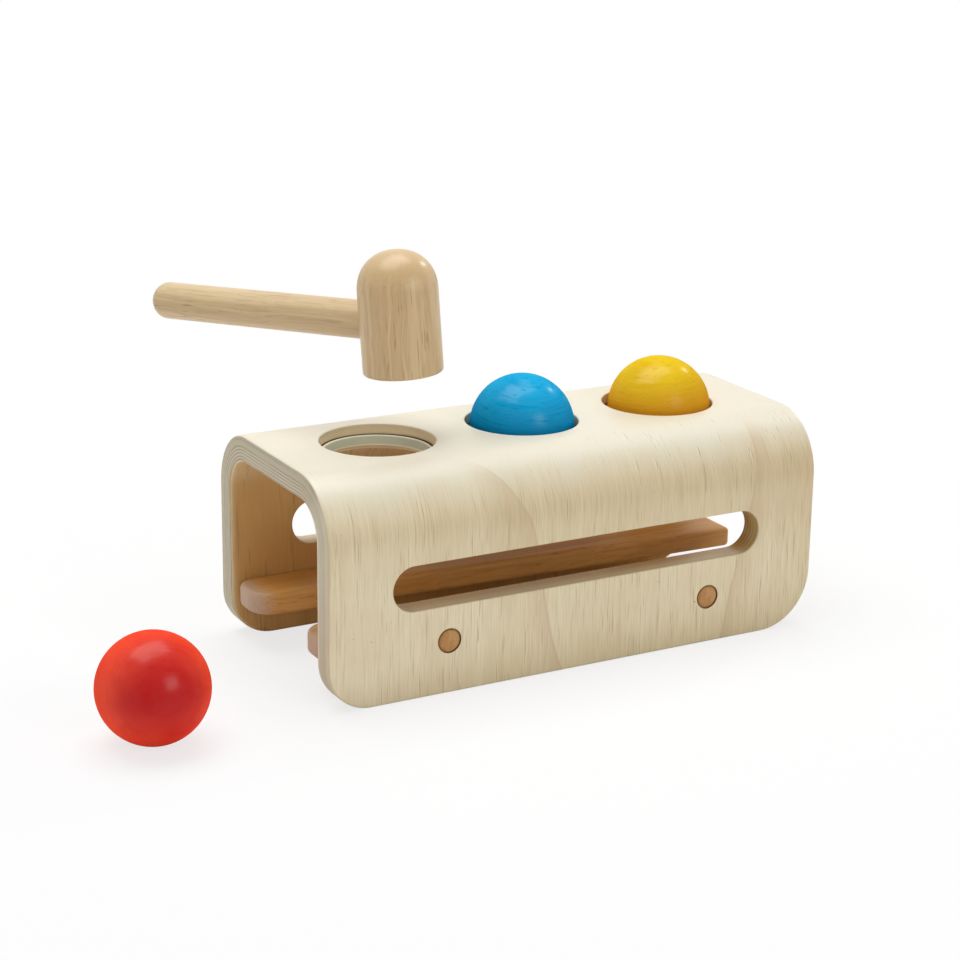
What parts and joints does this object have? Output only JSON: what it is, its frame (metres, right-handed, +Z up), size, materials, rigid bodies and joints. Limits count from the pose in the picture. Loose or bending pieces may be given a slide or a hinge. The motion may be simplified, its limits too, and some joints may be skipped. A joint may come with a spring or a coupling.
{
  "type": "ball pounding toy",
  "caption": "Bent plywood bench toy: balls sit in elastic-ringed holes in its top, are struck through with a wooden mallet and roll out at an open end on sloping rails.",
  "frame": {"origin": "on the floor, under the middle of the box round the whole set: bench, loose ball and hammer", "axes": "+X along the bench towards its closed-gap end, +Y towards its back panel, +Z up"},
  "size_m": [0.3778, 0.2276, 0.1996],
  "materials": {
    "plywood": "pale moulded plywood, clear lacquer",
    "rail_wood": "tan hardwood, oiled",
    "peg_wood": "turned dowel, oiled",
    "ring_rubber": "pale matt elastic",
    "red_paint": "turned wood, semi-gloss red paint",
    "blue_paint": "turned wood, semi-gloss blue paint",
    "yellow_paint": "turned wood, semi-gloss yellow paint",
    "mallet_wood": "turned pale hardwood, clear lacquer"
  },
  "bodies": {
    "bench": {"bench_shell": "plywood", "rail_front": "rail_wood", "rail_back": "rail_wood", "peg_front_left": "peg_wood", "peg_front_right": "peg_wood", "peg_back_left": "peg_wood", "peg_back_right": "peg_wood", "ring_left": "ring_rubber", "ring_middle": "ring_rubber", "ring_right": "ring_rubber"},
    "red_ball": {"ball_red": "red_paint"},
    "blue_ball": {"ball_blue": "blue_paint"},
    "yellow_ball": {"ball_yellow": "yellow_paint"},
    "hammer": {"hammer_head": "mallet_wood", "hammer_handle": "mallet_wood"}
  },
  "joints": [
    {"name": "blue_ball_drop", "type": "slide", "parent": "bench", "child": "blue_ball", "axis": [0, 0, 1], "range_m": [-0.054, 0.04], "deforming": ["ring_middle"]},
    {"name": "yellow_ball_drop", "type": "slide", "parent": "bench", "child": "yellow_ball", "axis": [0, 0, 1], "range_m": [-0.0512, 0.04], "deforming": ["ring_right"]},
    {"name": "red_ball_roll", "type": "slide", "parent": "bench", "child": "red_ball", "axis": [-0.7001, -0.7141, 0], "range_m": [-0.07, 0.1]},
    {"name": "hammer_swing", "type": "hinge", "parent": "bench", "child": "hammer", "pos_m": [-0.07333, 0.1039, 0.15284], "axis": [0.9148, 0.4033, 0.0209], "range_deg": [-60, 10.8]}
  ]
}
